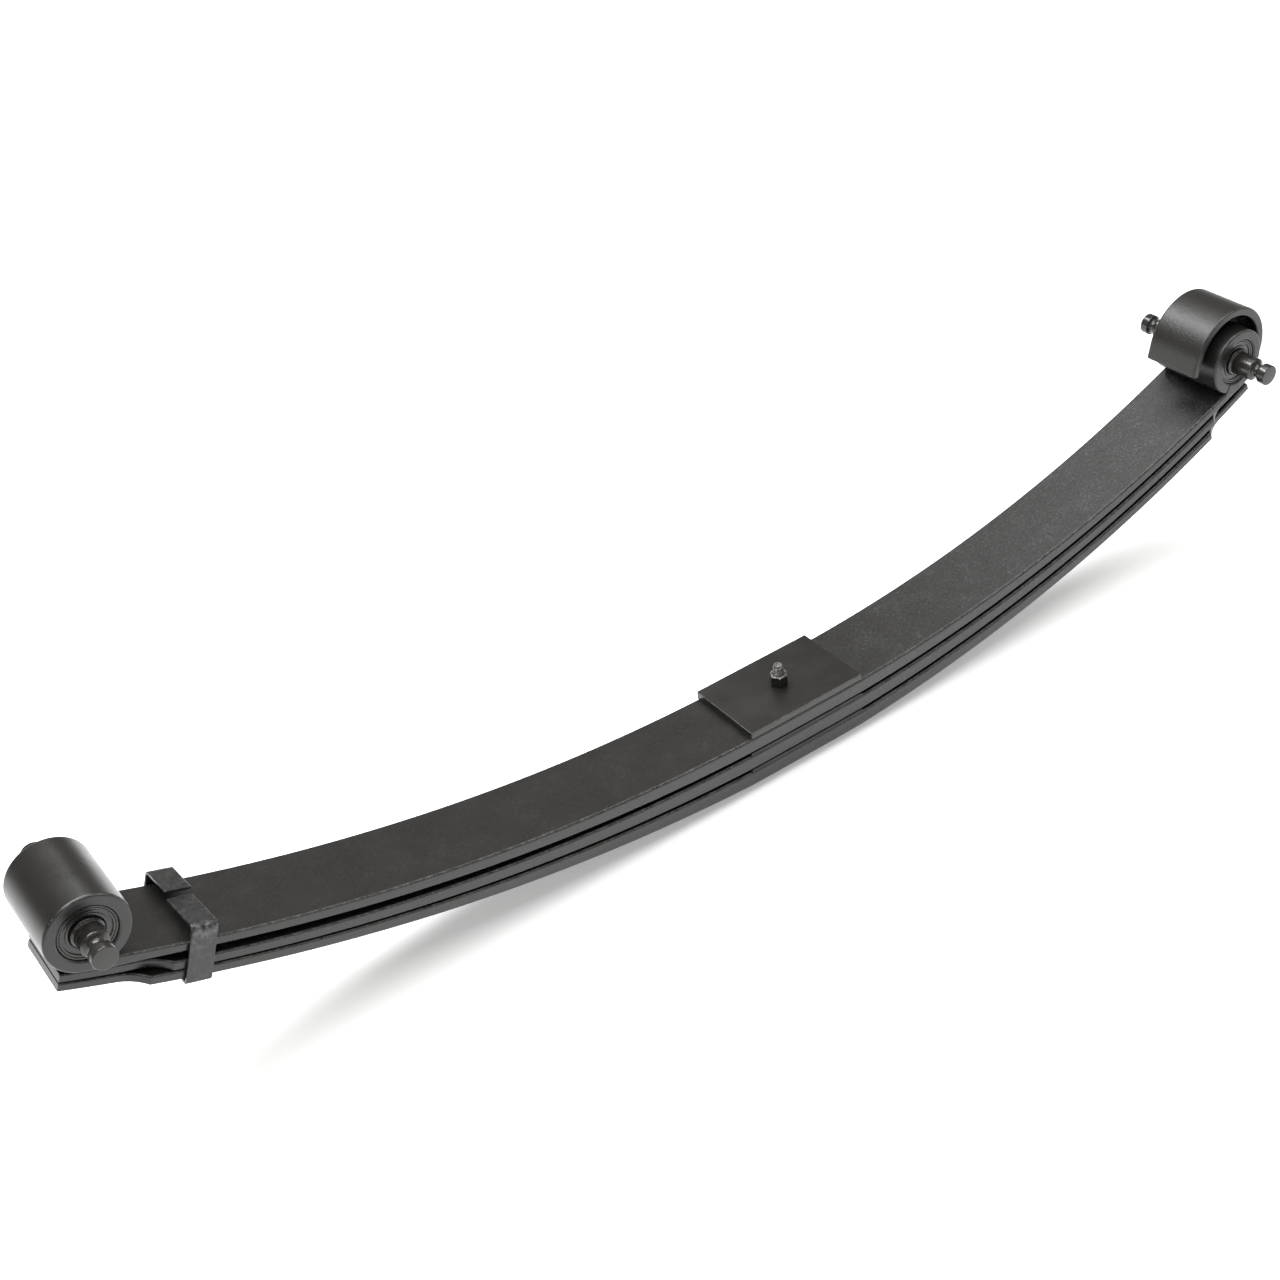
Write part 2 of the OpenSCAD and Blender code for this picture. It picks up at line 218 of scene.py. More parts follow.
def lathe(profile, closed=False, steps=96):
    """A body turned about Z from points of radius and height. A closed profile makes a ring."""
    bm = bmesh.new()
    chain = [bm.verts.new((r, 0, h)) for r, h in profile]
    pairs = zip(chain, chain[1:] + chain[:1]) if closed else zip(chain, chain[1:])
    edges = [bm.edges.new(pair) for pair in pairs]
    bmesh.ops.spin(bm, geom=chain + edges, cent=(0, 0, 0), axis=(0, 0, 1), dvec=(0, 0, 0),
                   angle=2 * math.pi, steps=steps, use_merge=True, use_duplicate=False)
    bmesh.ops.remove_doubles(bm, verts=bm.verts, dist=1e-4)
    bmesh.ops.recalc_face_normals(bm, faces=bm.faces)
    return bm


def arc(x, y, r, start, end, n=8):
    """Points of an arc, from a start to an end angle in degrees."""
    turns = [math.radians(start + (end - start) * i / n) for i in range(n + 1)]
    return [(x + r * math.cos(a), y + r * math.sin(a)) for a in turns]


def peg(r, low, high, steps=64):
    """A plain cutter for a round hole along Z."""
    return lathe([(0, low), (r, low), (r, high), (0, high)], steps=steps)


def carve(body, tool, operation="DIFFERENCE"):
    """Cuts a closed body with a closed tool and returns what is left."""
    pair = []
    for part in (body, tool):
        mesh = bpy.data.meshes.new("carving")
        part.to_mesh(mesh)
        part.free()
        pair.append(bpy.data.objects.new("carving", mesh))
        bpy.context.scene.collection.objects.link(pair[-1])
    cutting = pair[0].modifiers.new("carving", "BOOLEAN")
    cutting.object = pair[1]
    cutting.operation = operation
    cutting.solver = "EXACT"
    bpy.context.view_layer.update()
    left_over = bmesh.new()
    left_over.from_object(pair[0], bpy.context.evaluated_depsgraph_get())
    bmesh.ops.remove_doubles(left_over, verts=left_over.verts, dist=0.002)
    bmesh.ops.dissolve_degenerate(left_over, edges=left_over.edges, dist=0.002)
    for o in pair:
        mesh = o.data
        bpy.data.objects.remove(o)
        bpy.data.meshes.remove(mesh)
    return left_over


def place(name, bm, body, slot, finish, *nodes, sharp=32):
    """Turns a body into a finished piece that rides on a CAD body and stands for CAD nodes."""
    bm.transform(Matrix.Scale(MM, 4))
    for f in bm.faces:
        f.smooth = True
    for e in bm.edges:
        e.smooth = len(e.link_faces) == 2 and e.calc_face_angle(0) < math.radians(sharp)
    mesh = bpy.data.meshes.new(name)
    bm.to_mesh(mesh)
    bm.free()
    piece = bpy.data.objects.new(name, mesh)
    bpy.context.scene.collection.objects.link(piece)
    mesh.materials.append(finish)
    weighting = piece.modifiers.new("even shading", "WEIGHTED_NORMAL")
    weighting.keep_sharp = True
    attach(piece, body)
    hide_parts(*nodes)
    return piece


# ---------------------------------------------------------------- finishes

class Level:
    """A value in a finish. Sums on it add Math nodes."""

    def __init__(self, finish, socket):
        self.finish, self.socket = finish, socket

    def work(self, operation, *terms):
        return self.finish.node("ShaderNodeMath", {"operation": operation}, dict(enumerate(terms)))

    def __add__(self, other):
        return self.work("ADD", self, other)

    def __sub__(self, other):
        return self.work("SUBTRACT", self, other)

    def __rsub__(self, other):
        return self.work("SUBTRACT", other, self)

    def __mul__(self, other):
        return self.work("MULTIPLY", self, other)

    def __abs__(self):
        return self.work("ABSOLUTE", self)

    __radd__ = __add__
    __rmul__ = __mul__


class Finish:
    """The nodes of one surface finish."""

    def __init__(self, name):
        self.material = bpy.data.materials.new(name)
        self.material.use_nodes = True
        self.tree = self.material.node_tree
        self.tree.nodes.clear()
        self.where = self.node("ShaderNodeTexCoord", out="Object")
        self.x, self.y, self.z = self.parts(self.where)
        self.facing = self.parts(self.node("ShaderNodeNewGeometry", out="Normal"))

    def node(self, kind, settings=(), sockets=(), out=0):
        """Adds a node; a socket takes a level or a constant."""
        made = self.tree.nodes.new(kind)
        for key, value in dict(settings).items():
            setattr(made, key, value)
        for key, value in dict(sockets).items():
            if isinstance(value, Level):
                self.tree.links.new(value.socket, made.inputs[key])
            else:
                made.inputs[key].default_value = value
        return Level(self, made.outputs[out])

    def parts(self, vector):
        """The three parts of a vector."""
        split = self.node("ShaderNodeSeparateXYZ", (), {0: vector}).socket.node
        return [Level(self, o) for o in split.outputs]

    def stretched(self, x, y, z):
        """Places scaled by a factor along each axis."""
        return self.node("ShaderNodeVectorMath", {"operation": "MULTIPLY"},
                         {0: self.where, 1: (x, y, z)})

    def noise(self, scale, detail=3.0, roughness=0.55, where=None):
        return self.node("ShaderNodeTexNoise", (), {
            "Vector": where or self.where, "Scale": scale, "Detail": detail,
            "Roughness": roughness})

    def rise(self, value, low, high):
        """0 below low, 1 above high, and smooth between them."""
        return self.node("ShaderNodeMapRange", {"interpolation_type": "SMOOTHSTEP"},
                         {"Value": value, "From Min": low, "From Max": high})

    def tint(self, mask, under, over):
        """One colour laid over another by a mask."""
        return self.node("ShaderNodeMix", {"data_type": "RGBA"},
                         {0: mask, 6: under, 7: over}, out=2)

    def surface(self, colour, roughness, height, depth, **constants):
        """Ends the finish with its shader and returns the material."""
        bump = self.node("ShaderNodeBump", (), {
            "Height": height, "Distance": depth, "Strength": 0.6})
        shader = self.node("ShaderNodeBsdfPrincipled", (), {
            "Base Color": colour, "Roughness": roughness, "Normal": bump,
            **{key.replace("_", " "): value for key, value in constants.items()}})
        shown = self.tree.nodes.new("ShaderNodeOutputMaterial")
        self.tree.links.new(shader.socket, shown.inputs["Surface"])
        return self.material


def grey(value, warm=0.0):
    """A grey, a little red for warm above 0 and a little blue below."""
    return (value * (1 + warm), value, value * (1 - warm), 1)


def chipped_and_highlit_edges(f, side, low=0.3, size=160):
    """Pale chips along the upward edges between a piece's top and its flanks, which also paint a
    highlight on these rounded edges where they face up.
    """
    corner = f.rise(abs(side), low, low + 0.25) * (1 - f.rise(abs(side), 0.82, 0.96))
    return corner * f.rise(f.facing[2], 0.3, 0.6) * f.rise(f.noise(size, 5.0, 0.75), 0.36, 0.66)


def leaf_paint():
    """Dark paint, smooth on the left and grained with pale flecks on the right."""
    f = Finish("leaf_paint")
    rough_end = f.rise(f.x, -0.25, 0.4)
    grain = f.noise(400, 4.0, 0.7)
    blotch = f.noise(24, 5.0, 0.6)
    streak = f.noise(1, 4.0, 0.6, f.stretched(14, 420, 420))
    level = 1 - f.rise(f.z, 0.215, 0.235) * 0.8
    fleck = f.rise(grain, 0.5, 0.66) * level
    patch = f.rise(blotch, 0.48, 0.68)
    colour = f.tint((fleck * 0.6 + patch * fleck * 0.6) * (rough_end * 0.7 + 0.3),
                    grey(0.007, 0.08), grey(0.05, -0.02))
    scuff = f.rise(streak, 0.66, 0.78) * f.rise(f.noise(9, 2.0), 0.5, 0.62)
    scuff = scuff * (rough_end * 0.5 + 0.1)
    colour = f.tint(scuff, colour, grey(0.06, 0.03))
    rust = f.rise(f.noise(55, 4.0, 0.7), 0.66, 0.78) * f.rise(abs(f.y), 0.044, 0.05)
    colour = f.tint(rust * 0.5, colour, (0.035, 0.018, 0.01, 1))
    # Pale chips on the upward top edges and eye shoulders: partly edge wear, partly a painted
    # highlight on these rounded edges.
    wear_and_highlight = chipped_and_highlit_edges(f, f.facing[1])
    colour = f.tint(wear_and_highlight * 0.7, colour, grey(0.13, 0.02))
    return f.surface(
        colour, (blotch - 0.5) * 0.16 + grain * (rough_end * 0.12) - wear_and_highlight * 0.1 + 0.29,
        grain * (rough_end * 0.6 + 0.35) + streak * 0.15 - patch * rough_end * 0.4, 0.0005)


def plate_paint():
    """Smooth satin paint with light edges: pale chips that also paint a highlight on the edges."""
    f = Finish("plate_paint")
    cloud = f.noise(18, 4.0, 0.6)
    grain = f.noise(600, 3.0, 0.6)
    colour = f.tint(f.rise(cloud, 0.35, 0.7), grey(0.007, 0.08), grey(0.012, 0.08))
    # Pale edge chips, partly wear and partly a painted highlight on the upward edges.
    wear_and_highlight = chipped_and_highlit_edges(f, f.facing[1], 0.2, 220) + chipped_and_highlit_edges(f, f.facing[0], 0.2, 220)
    colour = f.tint(wear_and_highlight * 0.8, colour, grey(0.14, 0.02))
    return f.surface(colour, (cloud - 0.5) * 0.14 + grain * 0.05 + 0.27, grain, 0.0001)


def clip_paint():
    """Dark paint, rubbed light at the near bend; the pale patches there are partly rubbed paint
    and partly a painted highlight.
    """
    f = Finish("clip_paint")
    cloud = f.noise(45, 5.0, 0.65)
    grain = f.noise(520, 4.0, 0.7)
    # Pale patches on the near side's upper bend: rubbed paint and a painted highlight together.
    near_bend = f.rise(f.y * -1, 0.046, 0.053) * f.rise(f.z, 0.17, 0.25)
    rubbed_and_highlight = f.rise(f.noise(150, 5.0, 0.7), 0.44, 0.6) * (near_bend * 0.9 + 0.08)
    colour = f.tint(rubbed_and_highlight, grey(0.008, 0.03), grey(0.16, -0.02))
    along, _, up = f.facing
    rim = f.rise(abs(along), 0.3, 0.6) * (1 - f.rise(abs(along), 0.82, 0.96))
    chips = rim * f.rise(f.noise(240, 4.0, 0.7), 0.46, 0.6)
    colour = f.tint(chips * 0.7, colour, grey(0.14, 0.02))
    return f.surface(colour, (cloud - 0.5) * 0.2 + 0.3, grain * 0.6 + cloud * 0.3, 0.0003)


def pin_paint():
    """Glossy dark pins with turning marks and matt ends."""
    f = Finish("pin_paint")
    turning = f.noise(1, 2.0, 0.5, f.stretched(30, 900, 30))
    cloud = f.noise(60, 4.0, 0.6)
    end_face = f.rise(abs(f.facing[1]), 0.93, 0.99)
    colour = f.tint(f.rise(cloud, 0.4, 0.7), grey(0.012, 0.06), grey(0.022, 0.06))
    colour = f.tint(end_face * f.rise(abs(f.y), 0.085, 0.088), colour, grey(0.02, 0.05))
    wear_and_highlight = f.rise(abs(f.facing[1]), 0.45, 0.6) * (1 - f.rise(abs(f.facing[1]), 0.78, 0.9))
    wear_and_highlight = wear_and_highlight * f.rise(f.noise(300, 4.0, 0.7), 0.45, 0.6)
    colour = f.tint(wear_and_highlight * 0.3, colour, grey(0.1, 0.02))
    return f.surface(colour, (cloud - 0.5) * 0.08 + end_face * 0.2 + 0.17,
                     turning * 0.3 + cloud * 0.1, 0.00008)


def bushing_paint():
    """Glossy dark pressings."""
    f = Finish("bushing_paint")
    cloud = f.noise(70, 4.0, 0.6)
    grain = f.noise(500, 3.0, 0.6)
    colour = f.tint(f.rise(cloud, 0.4, 0.7), grey(0.01, 0.06), grey(0.022, 0.06))
    rim = f.rise(abs(f.facing[1]), 0.3, 0.5) * (1 - f.rise(abs(f.facing[1]), 0.8, 0.93))
    colour = f.tint(rim * f.rise(grain, 0.45, 0.6) * 0.5, colour, grey(0.1, 0.03))
    return f.surface(colour, (cloud - 0.5) * 0.12 + 0.2, grain * 0.25 + cloud * 0.2, 0.00015)


def fastener_steel():
    """Oiled dark steel, brighter where it faces up: pale patches that are part wear and part
    painted top light.
    """
    f = Finish("fastener_steel")
    cloud = f.noise(110, 4.0, 0.6)
    grain = f.noise(700, 3.0, 0.6)
    colour = f.tint(f.rise(cloud, 0.4, 0.7), grey(0.01, 0.05), grey(0.022, 0.05))
    # Pale patches only on upward faces: part wear, part a painted highlight from the light above.
    up = f.facing[2]
    worn_and_toplit = f.rise(up, 0.35, 0.6) * f.rise(grain + cloud * 0.4, 0.58, 0.8)
    colour = f.tint(worn_and_toplit * 0.7, colour, grey(0.25, 0.02))
    return f.surface(colour, (cloud - 0.5) * 0.2 + 0.33, grain * 0.5 + cloud * 0.3, 0.0002,
                     Metallic=0.2)


def liner_finish():
    """Dull woven liner."""
    f = Finish("liner")
    weave = f.noise(260, 3.0, 0.6)
    cloud = f.noise(30, 4.0, 0.6)
    colour = f.tint(f.rise(cloud, 0.35, 0.7), grey(0.008, 0.1), grey(0.016, 0.1))
    return f.surface(colour, weave * 0.15 + 0.6, weave, 0.0003)


def rubber_finish():
    """Matt black rubber."""
    f = Finish("rubber")
    pores = f.noise(800, 3.0, 0.6)
    cloud = f.noise(40, 3.0, 0.6)
    colour = f.tint(f.rise(cloud, 0.35, 0.7), grey(0.006), grey(0.01))
    return f.surface(colour, pores * 0.12 + 0.66, pores, 0.0002)


PAINT = leaf_paint()
PLATE = plate_paint()
CLIP = clip_paint()
PIN = pin_paint()
BUSHING = bushing_paint()
STEEL = fastener_steel()
LINER = liner_finish()
RUBBER = rubber_finish()

for finish, names in ((LINER, ("upper_liner", "lower_liner", "top_liner")),
                      (RUBBER, ("left_rubber", "right_rubber"))):
    for name in names:
        frame["nodes"][name].data.materials.clear()
        frame["nodes"][name].data.materials.append(finish)


# ---------------------------------------------------------------- leaves

def spread(start, end, step):
    """Even stations from a start to an end, both included."""
    n = max(1, round(abs(end - start) / step))
    return [start + (end - start) * i / n for i in range(n + 1)]


def waist(from_eye, shoulder):
    """Half width of a leaf that narrows in a hollow curve from its shoulder outwards."""
    drop = (LEAF_W - NARROW_W) / 2
    hollow_r = (FLARE_LEN ** 2 + drop ** 2) / (2 * drop)
    reach = from_eye - (shoulder - FLARE_LEN)
    if reach <= 0:
        return NARROW_W / 2
    if reach >= FLARE_LEN:
        return LEAF_W / 2
    return NARROW_W / 2 + hollow_r - math.sqrt(hollow_r ** 2 - reach ** 2)


SEAT_STATIONS = [20, SEAT_HALF, 50, 60, 70, PLATE_HALF]


def main_half(half):
    """Stations of the main leaf from the seat to the end of its rolled eye."""
    def thick(s):
        share = min(1, max(0, (s - half.run + BLEND_LEAD) / EYE_BLEND + 1))
        t = half.thickness(s)
        return t + (EYE_LEAF_T - t) * share

    made = [half.station(s, 0, thick(s), LEAF_W / 2) for s in SEAT_STATIONS]
    for s in spread(PLATE_HALF + 14, half.run - 64, 15) + spread(half.run - 60, half.run - 36, 6):
        made.append(half.station(s, 0, thick(s), LEAF_W / 2))
    # The top lifts to the foot of the seam, then follows the bore
    for d, lift in ((32.2, 0), (31.4, 0), (30.9, 0.5), (21.5, 9.7), (21.0, 9.8)):
        made.append(half.station(half.run - d, -lift, EYE_LEAF_T + lift, LEAF_W / 2))
    for d in (18, 14.5, 11, 7, 3.5):
        lift = EYE_DROP - math.sqrt(EYE_BORE_R ** 2 - d ** 2)
        made.append(half.station(half.run - d, -lift, EYE_LEAF_T + lift, LEAF_W / 2))
    wall = EYE_R - EYE_BORE_R
    turns = [(a, 0) for a in spread(0, EYE_ROLL - 0.03, math.radians(5))]
    for a, inset in turns + [(EYE_ROLL - 0.01, 0.25), (EYE_ROLL, 0.7)]:
        made.append(half.roll(0, EYE_BORE_R, a, wall, LEAF_W / 2, inset))
    return made


def lower_half(half, mid, end, shoulder, tip):
    """Stations of a lower leaf from the seat to its tip, or to the eye if it has no tip."""
    def stop(s, inset=0.0):
        return half.station(s, half.taper(s, mid, end), half.thickness(s),
                            waist(half.run - s, shoulder), inset)

    flare = half.run - shoulder
    last = half.run + tip
    path = SEAT_STATIONS + spread(PLATE_HALF + 14, flare - 6, 15)
    path += [flare - 1.5, flare - 0.4, flare] + [flare + d for d in (1, 2.5, 5, 8, 12, 17, 22, 28)]
    path += spread(flare + FLARE_LEN + 6, last - (1.2 if tip else 0), 9)
    made = [stop(s) for s in path]
    if tip:
        made += [stop(last - 0.35, 0.3), stop(last, TIP_ROUND)]
    return made


def leaf(left_stations, right_stations, depth):
    """A leaf from its two halves, at a depth below the pack's top, with its bolt hole."""
    middle = right.station(0, depth, LEAF_T, LEAF_W / 2)
    bar = ribbon(left_stations[::-1] + [middle] + right_stations, LEAF_W, EYE_LEAF_T, EDGE_R)
    bottom = TOP_Z - depth - LEAF_T
    return carve(bar, peg(BOLT_HOLE_R, bottom - 10, TOP_Z - depth + 10))


main = leaf(main_half(left), main_half(right), 0)
place("spring_main_leaf", main, "root", "leaf_paint", PAINT, "main_leaf")

second_mid = LEAF_T + LINER_T
second_right = lower_half(right, second_mid, right.second, SECOND_RIGHT_SHOULDER, 0)
for turn in spread(math.radians(4), WRAP_TURN, math.radians(5)):
    second_right.append(right.roll(WRAP_RISE, WRAP_R, turn, right.end_t, NARROW_W / 2))
tail_top, tail_w, tail_down = second_right[-1]
onward = right.along(WRAP_TURN)
for reach, inset in ((7, 0), (13, 0), (TAIL_LEN - 1.2, 0), (TAIL_LEN - 0.35, 0.3),
                     (TAIL_LEN, TIP_ROUND)):
    inward = tail_down.normalized() * inset
    second_right.append((tail_top + onward * reach + inward, tail_w - inset,
                         tail_down - 2 * inward))
second_left = lower_half(left, second_mid, left.second, SECOND_LEFT_SHOULDER, TIP_PAST_EYE)
second = leaf(second_left, second_right, second_mid)
place("spring_second_leaf", second, "root", "leaf_paint", PAINT, "second_leaf")

third_mid = 2 * second_mid
third = leaf(lower_half(left, third_mid, left.third, THIRD_LEFT_SHOULDER, TIP_PAST_EYE),
             lower_half(right, third_mid, right.third, THIRD_RIGHT_SHOULDER, TIP_PAST_EYE),
             third_mid)

# ---------------------------------------------------------------- rebound clip

clip_s = left.run - CLIP_FROM_EYE
clip_turn = Matrix.Rotation(left.turned(clip_s), 4, "Y")
clip_place = Matrix.Translation(left.point(clip_s, 0)) @ clip_turn


def third_face(s, bottom):
    """Depth of the third leaf's top or bottom face on the left."""
    return left.taper(s, third_mid, left.third) + (left.thickness(s) if bottom else 0)


clip_floor = -third_face(clip_s - CLIP_W / 2, True) - CLIP_FLOOR_GAP
rivet_top = -third_face(clip_s + RIVET_R, False) - RIVET_RECESS
hole = peg(RIVET_R + PRESS_GAP, clip_floor - 10, rivet_top + 12)
hole.transform(clip_place)
third = carve(third, hole)
place("spring_third_leaf", third, "root", "leaf_paint", PAINT, "third_leaf")


def clip_stations():
    """Round the pack from the near tab's end to the far tab's end."""
    inner_side = LEAF_W / 2 + CLIP_SIDE_GAP
    bend, low_bend = CLIP_T, CLIP_LOW_BEND
    near_z, far_z = NEAR_TAB_HEIGHT - 2 * CLIP_T, FAR_TAB_HEIGHT - 2 * CLIP_T
    low_z = clip_floor + low_bend

    def stop(y, z, r, degrees, ahead=0.0, inset=0.0):
        a = math.radians(degrees)
        out = Vector((0, math.cos(a), math.sin(a)))
        on = Vector((0, -math.sin(a), math.cos(a)))
        point = Vector((0, y, z)) + out * (r + inset) + on * ahead
        return point, CLIP_W / 2 - inset, out * (CLIP_T - 2 * inset)

    y_up, y_low = inner_side - bend, inner_side - low_bend
    near_slope, far_slope = 90 - NEAR_TAB_SLOPE, 90 - FAR_TAB_SLOPE
    near_len = (NEAR_TAB_END + y_up) / math.cos(math.radians(NEAR_TAB_SLOPE)) - 0.4
    far_len = (y_up - FAR_TAB_END) / math.cos(math.radians(FAR_TAB_SLOPE)) + 0.3
    made = [stop(-y_up, near_z, bend, near_slope, -near_len, 0.7),
            stop(-y_up, near_z, bend, near_slope, 0.3 - near_len, 0.2)]
    made += [stop(-y_up, near_z, bend, near_slope, -d) for d in spread(near_len - 1, 4, 10)]
    made += [stop(-y_up, near_z, bend, a) for a in spread(near_slope, 180, 12)]
    made += [stop(-y_low, low_z, low_bend, a) for a in spread(180, 270, 15)]
    made += [stop(y_low, low_z, low_bend, a) for a in spread(270, 360, 15)]
    made += [stop(y_up, far_z, bend, a) for a in spread(360, 360 + far_slope, 12)]
    made += [stop(y_up, far_z, bend, far_slope, d) for d in spread(4, far_len - 1, 10)]
    made += [stop(y_up, far_z, bend, far_slope, far_len - 0.3, 0.2),
             stop(y_up, far_z, bend, far_slope, far_len, 0.7)]
    return made


clip = ribbon(clip_stations(), CLIP_W, CLIP_T, CLIP_EDGE_R, sideways=Vector((1, 0, 0)),
              segments=4)
clip = carve(clip, peg(RIVET_R + PRESS_GAP, clip_floor - 10, clip_floor + 5))
clip.transform(clip_place)
place("clip_strap", clip, "root", "clip_paint", CLIP, "rebound_clip")

head_z = clip_floor - CLIP_T
dome = [(RIVET_HEAD_R * math.sin(a), head_z - 0.4 - (RIVET_HEAD_H - 0.4) * math.cos(a))
        for a in spread(0.2, math.pi / 2, 0.2)]
rivet = lathe([(0, head_z - RIVET_HEAD_H)] + dome +
              [(RIVET_HEAD_R, head_z), (RIVET_R, head_z), (RIVET_R, rivet_top - 0.5),
               (RIVET_R - 0.5, rivet_top), (0, rivet_top)])
rivet.transform(clip_place)
place("clip_rivet_dome", rivet, "root", "fastener_steel", STEEL, "clip_rivet")

# ---------------------------------------------------------------- seat plate, bolt and nut

low, high = (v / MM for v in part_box("top_plate"))
plate = bmesh.new()
bmesh.ops.create_cube(plate, size=1)
bmesh.ops.scale(plate, vec=high - low, verts=plate.verts)
bmesh.ops.translate(plate, vec=(low + high) / 2, verts=plate.verts)
uprights = [e for e in plate.edges if abs(e.verts[0].co.z - e.verts[1].co.z) > 1]
bmesh.ops.bevel(plate, geom=uprights, offset=1.6, affect="EDGES", segments=4, profile=0.5,
                material=-1)
rims = [e for e in plate.edges if abs(e.verts[0].co.z - e.verts[1].co.z) < 0.01]
bmesh.ops.bevel(plate, geom=rims, offset=0.8, affect="EDGES", segments=3, profile=0.5, material=-1)
plate = carve(plate, peg(BOLT_HOLE_R, low.z - 3, high.z + 3))
place("seat_plate", plate, "root", "plate_paint", PLATE, "top_plate")

low, high = (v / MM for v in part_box("centre_nut"))
nut = lathe([(0, low.z), (NUT_R, low.z), (NUT_R, high.z), (0, high.z)], steps=6)
barrel = lathe([(0, low.z - 1), (9.3, low.z - 0.01), (9.3, low.z), (NUT_R + 0.4, low.z + 1.2),
                (NUT_R + 0.4, high.z - 1.7), (8.8, high.z), (8.7, high.z + 0.01), (0, high.z + 1)])
nut = carve(nut, barrel, "INTERSECT")
nut = carve(nut, lathe([(0, low.z - 2), (6.4, low.z - 2), (6.4, high.z - 0.9), (7.2, high.z + 0.1),
                        (7.2, high.z + 1), (0, high.z + 1)]))
place("seat_nut", nut, "root", "fastener_steel", STEEL, "centre_nut", sharp=25)

low, bolt_high = (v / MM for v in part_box("centre_bolt"))
head_r, core_r, pitch = -low.x, THREAD_CORE_R, THREAD_PITCH
bolt = lathe([(0, low.z), (head_r - 1, low.z), (head_r - 0.3, low.z + 0.3), (head_r, low.z + 1),
              (head_r, -0.8), (head_r - 0.3, -0.2), (head_r - 0.8, 0), (BOLT_R, 0),
              (BOLT_R, high.z - 6), (core_r, high.z - 5), (core_r, bolt_high.z - 1.6),
              (core_r - 0.9, bolt_high.z - 0.5), (core_r - 2, bolt_high.z - 0.1),
              (0, bolt_high.z)])
# A helical ridge from inside the nut to the bolt's chamfer
thread = bmesh.new()
start = high.z - 4
tooth = [(core_r - 0.2, 0), (core_r, 0.1), (THREAD_CREST_R, pitch * 0.42),
         (THREAD_CREST_R, pitch * 0.54), (core_r, pitch * 0.88), (core_r - 0.2, pitch * 0.95)]
thread.faces.new([thread.verts.new((r, 0, start + h)) for r, h in tooth])
turns = (bolt_high.z - 1.6 - start - pitch) / pitch
steps = round(turns * 32)
bmesh.ops.spin(thread, geom=thread.verts[:] + thread.edges[:] + thread.faces[:], cent=(0, 0, 0),
               axis=(0, 0, 1), dvec=(0, 0, pitch * turns / steps), angle=2 * math.pi * turns,
               steps=steps, use_merge=False, use_duplicate=False)
bmesh.ops.recalc_face_normals(thread, faces=thread.faces)
joined = bpy.data.meshes.new("thread")
thread.to_mesh(joined)
thread.free()
bolt.from_mesh(joined)
bpy.data.meshes.remove(joined)
place("seat_bolt", bolt, "root", "fastener_steel", STEEL, "centre_bolt", sharp=40)

# ---------------------------------------------------------------- bushings and pins

def on_axle(half, bm, side=1):
    """Lays a body turned about Z along Y, on the axis of an eye, towards the near side for -1."""
    bm.transform(Matrix.Translation(half.eye) @ Matrix.Rotation(math.radians(-90 * side), 4, "X"))
    return bm


def disc():
    """A pressed disc with stepped rings, which closes one end of the bushing."""
    return lathe([(14.8, DISC_IN), (26.9, DISC_IN), (26.9, 47.3), (26.5, 47.9), (25.6, 48.1),
                  (24.6, 47.9), (24.2, 47.3), (24.0, 46.5), (23.4, 46.3), (21.6, 46.3),
                  (21.2, 46.5), (20.9, 47.4), (20.3, 47.7), (18.6, 47.7), (18.1, 47.4),
                  (17.8, 46.2), (17.2, 45.9), (15.4, 45.9), (14.8, 45.5)], closed=True)


def sleeve():
    """The bushing's outer tube, with rounded ends."""
    rim = [(26.95, SLEEVE_END - 0.6), (27.4, SLEEVE_END), (28.8, SLEEVE_END),
           (29.45, SLEEVE_END - 0.7)]
    return lathe(rim + [(r, -h) for r, h in rim[::-1]], closed=True)


def pin(length):
    """A swivel pin: barrel in the rubber, hub, round groove and head at each end."""
    end = length / 2
    groove = end - PIN_HEAD_LEN - GROOVE_W / 2
    shoulder = groove - GROOVE_W / 2 - 2.6
    half = [(PIN_BARREL_R, 20), (PIN_BARREL_R, 42.6), (16.4, 43.7), (PIN_HUB_R, 43.7),
            (PIN_HUB_R, 48.3), (14.9, 48.5), (16.6, 48.5), (17.1, 48.9), (17.1, 49.7),
            (16.7, 50.3), (14.9, 51.6), (PIN_HUB_R, 52.2)]
    half += [(r, h) for h, r in arc(shoulder, 12.4, 2.1, 90, 20, 5)]
    half += arc(GROOVE_CURVE_AT, groove, GROOVE_CURVE_R, -104, -256, 14)
    half += [(12.75, end - 10.2), (PIN_HEAD_R, end - 9.9), (PIN_HEAD_R, end - 1.1),
             (12.6, end - 0.4), (11.9, end), (0, end)]
    return lathe([(r, -h) for r, h in half[::-1]] + half)


for side_name, half in (("left", left), ("right", right)):
    place(f"{side_name}_bush_sleeve", on_axle(half, sleeve()), "root", "bushing_paint", BUSHING,
          f"{side_name}_sleeve")
    for end_name, side in (("near", -1), ("far", 1)):
        place(f"{side_name}_{end_name}_disc", on_axle(half, disc(), side), "root",
              "bushing_paint", BUSHING, f"{side_name}_{end_name}_washer", sharp=40)
    low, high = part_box(f"{side_name}_pin")
    place(f"{side_name}_swivel_pin", on_axle(half, pin((high.y - low.y) / MM)),
          f"{side_name}_pin", "pin_paint", PIN, f"{side_name}_pin", sharp=40)


# ---------------------------------------------------------------- floor, light and camera

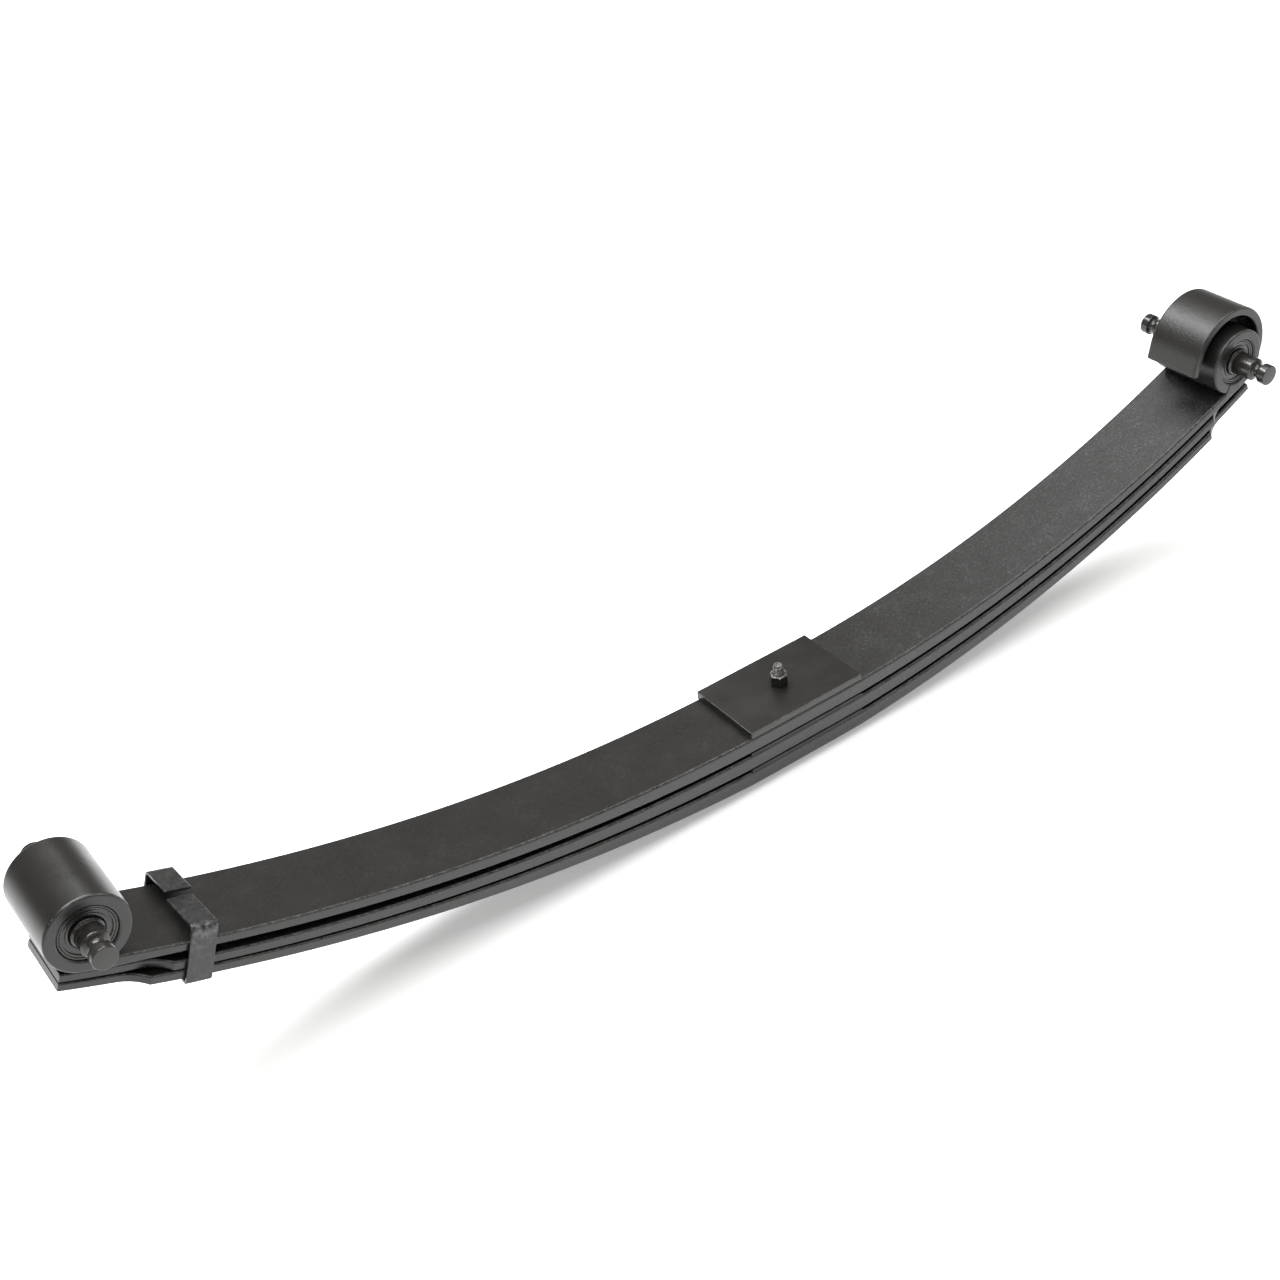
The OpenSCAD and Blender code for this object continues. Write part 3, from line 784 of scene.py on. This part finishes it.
floor_mesh = bmesh.new()
bmesh.ops.create_grid(floor_mesh, x_segments=1, y_segments=1, size=14)
bmesh.ops.translate(floor_mesh, vec=(0, 0, cad_box[0].z - 0.0005), verts=floor_mesh.verts)
mesh = bpy.data.meshes.new("floor")
floor_mesh.to_mesh(mesh)
floor_mesh.free()
floor = bpy.data.objects.new("floor", mesh)
bpy.context.scene.collection.objects.link(floor)
f = Finish("floor")
mesh.materials.append(f.surface(f.tint(f.noise(3, 2.0), grey(0.86), grey(0.9)),
                                f.noise(40, 2.0) * 0.1 + 0.7, f.noise(90), 0.0001,
                                Emission_Color=grey(0.3), Emission_Strength=1.0))


def softbox(name, spot, target, size, power):
    """A soft rectangular lamp that points at a target."""
    lamp = bpy.data.lights.new(name, "AREA")
    lamp.shape = "RECTANGLE"
    lamp.size, lamp.size_y = size
    lamp.energy = power
    o = bpy.data.objects.new(name, lamp)
    o.location = spot
    o.rotation_mode = "QUATERNION"
    o.rotation_quaternion = (Vector(target) - Vector(spot)).to_track_quat("-Z", "Y")
    bpy.context.scene.collection.objects.link(o)


softbox("overhead", (0, 0, 4), (0, 0, 0), (4.4, 4.4), 235)
softbox("strip", (-0.6, 0.9, 2.2), (0, 0, 0), (2.6, 0.5), 60)

world = bpy.data.worlds.new("studio")
bpy.context.scene.world = world
world.use_nodes = True
room = world.node_tree
room.nodes.clear()
way = room.nodes.new("ShaderNodeTexCoord")
split = room.nodes.new("ShaderNodeSeparateXYZ")
ramp = room.nodes.new("ShaderNodeValToRGB")
# Brightness of the room by height, from the floor's edge to straight overhead
stops = ((0.0, 0.5), (0.02, 0.34), (0.24, 0.26), (0.5, 0.38), (1.0, 0.45))
while len(ramp.color_ramp.elements) < len(stops):
    ramp.color_ramp.elements.new(1)
for element, (at, level) in zip(ramp.color_ramp.elements, stops):
    element.position = at
    element.color = (level * 1.02, level, level * 0.97, 1)
glow = room.nodes.new("ShaderNodeBackground")
glow.inputs["Strength"].default_value = 1.0
shown = room.nodes.new("ShaderNodeOutputWorld")
room.links.new(way.outputs["Generated"], split.inputs[0])
room.links.new(split.outputs["Z"], ramp.inputs[0])
room.links.new(ramp.outputs[0], glow.inputs[0])
room.links.new(glow.outputs[0], shown.inputs[0])

bpy.context.scene.view_settings.view_transform = "Standard"

# The camera's place in metres, and its tilt, roll and turn in degrees
CAMERA_AT = (-1.0479, -1.3676, 1.4494)
CAMERA_ANGLES = (53.0, 4.88, -35.896)

lens = bpy.data.cameras.new("camera")
lens.sensor_width = 36
lens.lens = 52.5
lens.clip_end = 60
camera = bpy.data.objects.new("camera", lens)
bpy.context.scene.collection.objects.link(camera)
turned = Euler([math.radians(angle) for angle in CAMERA_ANGLES])
camera.matrix_world = Matrix.LocRotScale(Vector(CAMERA_AT), turned, None)
bpy.context.scene.camera = camera
